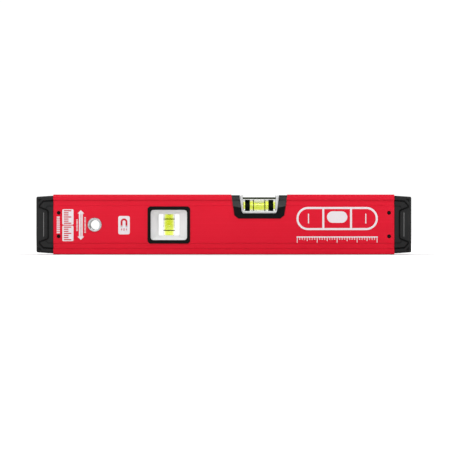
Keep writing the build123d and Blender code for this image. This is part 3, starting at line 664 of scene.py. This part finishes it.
def dress_level_bubble():
    """Air under the top of the bore: its upper side takes the wall's shape, and its floor is nearly flat."""
    centre = centre_of("level_vial_tube")
    low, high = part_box("level_bubble")
    half_length = (high - low).x / 2
    floor = low.z - centre.z

    def fill(bm):
        rings = []
        for station in range(BUBBLE_STATIONS + 1):
            share = math.sin(math.pi / 2 * (2 * station / BUBBLE_STATIONS - 1))
            along = half_length * share
            reach = bore_radius(along) - BUBBLE_GAP
            depth = (reach - floor) * max(0.0, 1 - abs(share) ** 3) ** (1 / 3)  # blunt, rounded ends
            if depth < TINY:
                rings.append([bm.verts.new((centre.x + along, centre.y, centre.z + reach))])
                continue
            ring = []
            for y, z in bubble_section(reach, reach - depth):
                ring.append(bm.verts.new(
                    (centre.x + along, centre.y + fit_travel(along, y, z), centre.z + z)
                ))
            rings.append(ring)
        for one, two in zip(rings, rings[1:]):
            join_rings(bm, one, two, 2 * BUBBLE_POINTS)

    piece = make_piece("level_air", fill, MATERIALS["bubble_air"], "level_bubble_body")
    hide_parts("level_bubble")


def wrap_bands(node, tube, axis_index, width, slot):
    """Two printed bands let into a tube, at the ends of the CAD node that they replace."""
    low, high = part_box(node)
    outer = (high - low).y / 2
    inner = outer - BAND_THICKNESS - BAND_LAP
    reach = (high - low)[axis_index] / 2

    def fill(bm):
        for side in (-1, 1):
            middle = side * (reach - width / 2)
            start = middle - width / 2
            stop = middle + width / 2
            profile = [(start, inner), (start, outer - BAND_EDGE), (start + BAND_EDGE, outer),
                       (stop - BAND_EDGE, outer), (stop, outer - BAND_EDGE), (stop, inner)]
            lathe(bm, profile, centre_of(tube), unit_vector(axis_index), closed=True)

    piece = make_piece(f"{node}_print", fill, MATERIALS[slot], "beam")
    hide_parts(node)


def dress_vials():
    """Liquid, air, reading lines and contrast bands."""
    for name, axis_index in (("level", 0), ("plumb", 2)):
        fill_vial(name, axis_index)
        wrap_bands(f"{name}_reading_lines", f"{name}_vial_tube", axis_index, LINE_WIDTH, "reading_line")
    dress_level_bubble()
    wrap_bands("level_contrast_bands", "level_vial_tube", 0, BAND_WIDTH, "contrast_band")


# ---------------------------------------------------------------- printed graphics


def panel_y():
    """Distance of the beam's printed panel from the middle plane."""
    middle = centre_of("beam_frame").z
    corners = NODES["beam_frame"].data.vertices
    return max(corner.co.y for corner in corners if abs(corner.co.z - middle) < PANEL_STRIP)


def printed(name, shapes, material, side, lift=0.0):
    """A layer of ink on one face of the beam; side -1 is the front. Each shape is a slab's rims."""
    near = side * (panel_y() + lift)
    far = near + side * INK

    def fill(bm):
        for rims in shapes:
            slab(bm, rims, near, far)

    face = "front" if side < 0 else "back"
    make_piece(f"print_{name}_{face}", fill, material, "beam")


def arc(x, z, radius, steps):
    """Upper half of a circle about (x, z), from its right end."""
    turns = [math.pi * step / steps for step in range(steps + 1)]
    return [(x + radius * math.cos(turn), z + radius * math.sin(turn)) for turn in turns]


def magnet_graphic(side, x, z):
    """White label with a horseshoe magnet and three field marks."""
    width, height, corner = 12.5 * MM, 19.9 * MM, 2.0 * MM
    outer_r, inner_r, arc_steps = 3.7 * MM, 1.6 * MM, 16
    leg, tip_gap, tip_height = 4.2 * MM, 0.4 * MM, 1.2 * MM
    mark_pitch, mark_width, mark_z = 2.6 * MM, 0.8 * MM, z - 4.6 * MM
    middle_mark, outer_mark = 3.0 * MM, 2.0 * MM

    printed("magnet_label", [[rounded_box(x, z, width, height, corner)]], WHITE_INK, side)

    arc_z = z + 3.6 * MM
    foot = arc_z - leg
    outer = arc(x, arc_z, outer_r, arc_steps)
    inner = arc(x, arc_z, inner_r, arc_steps)[::-1]
    horseshoe = [(x + outer_r, foot), *outer, (x - outer_r, foot), (x - inner_r, foot), *inner,
                 (x + inner_r, foot)]
    marks = []
    for i, length in ((-1, outer_mark), (0, middle_mark), (1, outer_mark)):
        marks.append([bar(x + i * mark_pitch, mark_z, mark_width, length)])
    printed("magnet_shoe", [[horseshoe], *marks], RED_INK, side, lift=INK)

    tip_z = foot - tip_gap - tip_height / 2
    tips = []
    for way in (-1, 1):
        tips.append([bar(x + way * (outer_r + inner_r) / 2, tip_z, outer_r - inner_r, tip_height)])
    printed("magnet_tips", tips, GREY_INK, side, lift=INK)


def ruler_graphic(side, x, z):
    """White panel in two fields, each with a scale of ticks in place of figures."""
    width, height, gap, corner = 12.1 * MM, 34.5 * MM, 1.0 * MM, 1.3 * MM
    margin, pitch, thickness = 1.7 * MM, 2.25 * MM, 1.15 * MM
    long_tick, short_tick = 8.0 * MM, 5.0 * MM
    field = (height - gap) / 2
    left = x - width / 2 + margin
    fields = []
    ticks = []
    for end in (-1, 1):
        middle = z + end * (field + gap) / 2
        fields.append([rounded_box(x, middle, width, field, corner)])
        for i in range(-3, 4):
            length = long_tick if i % 3 == 0 else short_tick
            ticks.append([bar(left + length / 2, middle + i * pitch, length, thickness)])
    printed("size_panel", fields, WHITE_INK, side)
    printed("size_ticks", ticks, RED_INK, side, lift=INK)


def arrow_graphic(side, x, z):
    """Double-headed arrow up and down the beam, with short dashes beside it."""
    half, shaft, head_width, head = 16.05 * MM, 2.05 * MM, 3.6 * MM, 3.6 * MM
    dash_width, dash_height, dash_pitch = 1.8 * MM, 0.75 * MM, 1.45 * MM
    dash_columns = ((-4.0 * MM, -6 * MM, 9), (4.6 * MM, -8 * MM, 12))  # x, lowest z, how many
    notch_width, notch_height, notch_pitch = 1.7 * MM, 0.42 * MM, 1.3 * MM
    outline = [(x, z - half), (x + head_width, z - half + head), (x + shaft, z - half + head),
               (x + shaft, z + half - head), (x + head_width, z + half - head), (x, z + half),
               (x - head_width, z + half - head), (x - shaft, z + half - head),
               (x - shaft, z - half + head), (x - head_width, z - half + head)]
    dashes = []
    for offset, lowest, count in dash_columns:
        for i in range(count):
            dashes.append([bar(x + offset, z + lowest + i * dash_pitch, dash_width, dash_height)])
    printed("arrow", [[outline], *dashes], WHITE_INK, side)
    notches = [[bar(x, z + i * notch_pitch, notch_width, notch_height)] for i in range(-9, 10)]
    printed("arrow_notches", notches, RED_INK, side, lift=INK)


def scale_ticks(x, top):
    """Ticks of the large scale: every eighth is long, and every fourth is middling."""
    pitch, thickness = 2.7 * MM, 0.75 * MM
    long_tick, middling_tick, short_tick = 5.4 * MM, 3.8 * MM, 2.4 * MM
    shapes = []
    for i in range(-16, 17):
        length = short_tick
        if i % 8 == 0:
            length = long_tick
        elif i % 4 == 0:
            length = middling_tick
        shapes.append([bar(x + i * pitch, top - length / 2, thickness, length)])
    return shapes


def vial_graphic(side, x, z):
    """Large generic pictogram: a vial with its bubble between two lines, above a scale."""
    width, height, stroke = 88 * MM, 25 * MM, 2.2 * MM
    corner, corner_steps = height / 2 - 0.01 * MM, 16
    line_x = 15 * MM
    outer_line_x, outer_line_width, outer_line_height = 31 * MM, 1.1 * MM, height * 0.42
    bubble_width, bubble_height, bubble_corner, bubble_rise = 22 * MM, 12.5 * MM, 6.2 * MM, 1.6 * MM
    rule_height = 1.2 * MM
    vial_z = z + 6.5 * MM
    rule_z = z - 13.5 * MM
    outer = rounded_box(x, vial_z, width, height, corner, corner_steps)
    inner = rounded_box(x, vial_z, width - 2 * stroke, height - 2 * stroke, corner - stroke, corner_steps)
    shapes = [[outer, inner]]
    for way in (-1, 1):
        shapes.append([bar(x + way * line_x, vial_z, stroke, height - 2 * stroke)])
        shapes.append([bar(x + way * outer_line_x, vial_z, outer_line_width, outer_line_height)])
    bubble_z = vial_z + bubble_rise
    shapes.append([rounded_box(x, bubble_z, bubble_width, bubble_height, bubble_corner, corner_steps)])
    shapes.append([bar(x, rule_z, width, rule_height)])
    shapes += scale_ticks(x, rule_z - rule_height / 2)
    printed("vial_sign", shapes, WHITE_INK, side)


def hole_ticks(side, x, z):
    """Small blocks between the two snap holes."""
    pitch, width, height = 2.1 * MM, 3.4 * MM, 1.25 * MM
    blocks = [[bar(x, z + i * pitch, width, height)] for i in range(-4, 5)]
    printed("hole_ticks", blocks, WHITE_INK, side)


def print_graphics():
    """The same layout on both faces. On the back each graphic keeps its place along the beam."""
    low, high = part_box("beam_frame")
    middle = (low.z + high.z) / 2
    eyelet_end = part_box("hang_eyelet_front")[1].x
    bezel_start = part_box("plumb_bezel_front")[0].x
    cradle_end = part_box("level_cradle")[1].x
    for side in (-1, 1):
        magnet_graphic(side, (eyelet_end + bezel_start) / 2 - LABEL_SHIFT, middle - LABEL_DROP)
        ruler_graphic(side, low.x + SIZE_PANEL_X, middle - LABEL_DROP)
        arrow_graphic(side, low.x + ARROW_X, middle - ARROW_DROP)
        hole_ticks(side, low.x + HOLE_TICKS_X, middle - HOLE_TICKS_DROP)
        vial_graphic(side, (cradle_end + high.x) / 2 - VIAL_SIGN_SHIFT, middle)


# ---------------------------------------------------------------- stage, lamps, camera


def build_floor():
    """Pale floor, darker and glowing less near the object as a painted shadow, and glowing more with
    distance, so that it ends up as white as the surround.
    """
    bm = bmesh.new()
    bmesh.ops.create_circle(bm, cap_ends=True, radius=FLOOR_RADIUS, segments=FLOOR_STEPS)
    mesh = bpy.data.meshes.new("floor")
    bm.to_mesh(mesh)
    bm.free()
    floor = bpy.data.objects.new("floor", mesh)
    floor.location.z = -FLOOR_DROP
    surface = Surface("floor", FLOOR_SHADED, 0.8)
    surface.set("Specular IOR Level", 0.0)
    surface.set("Emission Color", WHITE)
    away = surface.tree.nodes.new("ShaderNodeVectorMath")
    away.operation = "LENGTH"
    surface.link(surface.stretched(FLOOR_STRETCH), away, "Vector")
    surface.vary_colour(away.outputs["Value"], FLOOR_FAR, *FLOOR_FADE)
    glow = surface.remap(away.outputs["Value"], FLOOR_GLOW_SHADED, FLOOR_GLOW_FAR, *FLOOR_FADE)
    surface.link(glow, surface.shader, "Emission Strength")
    mesh.materials.append(surface.material)
    bpy.context.scene.collection.objects.link(floor)


def build_surround():
    """White behind the object and dim in front of it."""
    world = bpy.data.worlds.new("studio")
    world.use_nodes = True
    tree = world.node_tree
    background = tree.nodes["Background"]
    background.inputs["Color"].default_value = WHITE
    direction = tree.nodes.new("ShaderNodeTexCoord").outputs["Generated"]
    axes = tree.nodes.new("ShaderNodeSeparateXYZ")
    ramp = tree.nodes.new("ShaderNodeMapRange")
    set_range(ramp, *SKY_FADE, SKY_FRONT, SKY_BACK)
    tree.links.new(direction, axes.inputs["Vector"])
    tree.links.new(axes.outputs["Y"], ramp.inputs["Value"])
    tree.links.new(ramp.outputs["Result"], background.inputs["Strength"])
    bpy.context.scene.world = world


def build_lamps():
    """Large soft lamps above and in front of the object."""
    for name, place, target, size, power in LAMPS:
        data = bpy.data.lights.new(name, "AREA")
        data.shape = "RECTANGLE"
        data.size, data.size_y = size
        data.energy = power
        lamp = bpy.data.objects.new(name, data)
        lamp.location = place
        lamp.rotation_euler = (Vector(target) - Vector(place)).to_track_quat("-Z", "Y").to_euler()
        bpy.context.scene.collection.objects.link(lamp)


def build_camera():
    """Straight in front, from far enough for a slight perspective."""
    data = bpy.data.cameras.new("camera")
    data.lens = FOCAL_LENGTH
    data.sensor_width = SENSOR_WIDTH
    data.clip_start = CLIP_NEAR
    data.clip_end = CLIP_FAR
    distance = VIEW_WIDTH * FOCAL_LENGTH / SENSOR_WIDTH
    camera = bpy.data.objects.new("camera", data)
    camera.location = (CAMERA_X, cad_low.y - distance, CAMERA_Z)
    camera.rotation_euler = (math.radians(90), 0, 0)
    bpy.context.scene.collection.objects.link(camera)
    bpy.context.scene.camera = camera
    bpy.context.scene.view_settings.view_transform = "Standard"


finish_cad_nodes()
dress_vials()
print_graphics()
build_floor()
build_surround()
build_lamps()
build_camera()
